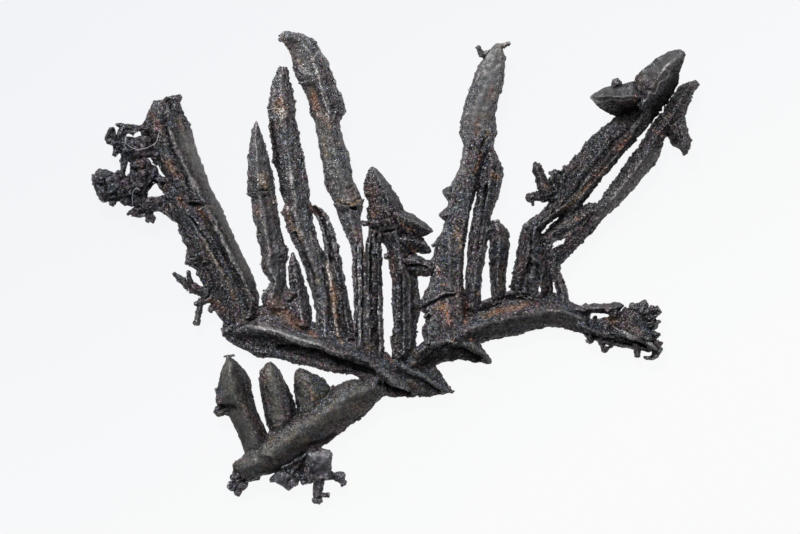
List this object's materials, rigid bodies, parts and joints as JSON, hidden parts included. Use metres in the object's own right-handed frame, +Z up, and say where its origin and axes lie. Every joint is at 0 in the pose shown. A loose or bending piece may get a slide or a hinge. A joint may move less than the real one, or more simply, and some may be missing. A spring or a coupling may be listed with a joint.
{
  "type": "native silver dendrite",
  "caption": "Flat branching growth of tarnished native silver: long keeled crystals side by side on arching stems, with small crystal clusters at the ends.",
  "frame": {"origin": "point on the rest plane under the junction of the left, right and lower stems", "axes": "+Z up, away from the surface the growth lies on; +Y the way the long comb of crystals points; +X along the right stem towards its tufted end"},
  "size_m": [0.0406, 0.0316, 0.0043],
  "materials": {
    "dark_tarnish": "native silver under a black sulphide skin, half matt, with rust-brown and ochre stains in the grooves and worn grey crests",
    "satin_tarnish": "smoother olive-grey sulphide skin on rounded silver, with soft satin highlights",
    "black_crust": "rough black clusters of small silver crystals with bright grey specks on their edges"
  },
  "bodies": {
    "root": {"left_stem": "dark_tarnish", "right_stem": "dark_tarnish", "lower_stem": "satin_tarnish", "left_arm": "dark_tarnish", "left_cluster": "black_crust", "finger_1": "dark_tarnish", "finger_2": "dark_tarnish", "finger_3": "dark_tarnish", "finger_4": "dark_tarnish", "finger_5": "dark_tarnish", "rib_pair": "dark_tarnish", "centre_crystal": "dark_tarnish", "finger_6": "dark_tarnish", "finger_7": "dark_tarnish", "finger_8": "dark_tarnish", "right_upper_arm": "dark_tarnish", "right_lower_arm": "dark_tarnish", "head_crystal": "dark_tarnish", "right_tuft": "dark_tarnish", "outer_spear": "satin_tarnish", "middle_spear": "satin_tarnish", "inner_spear": "satin_tarnish", "left_lump": "black_crust", "right_lump": "black_crust"}
  },
  "joints": []
}
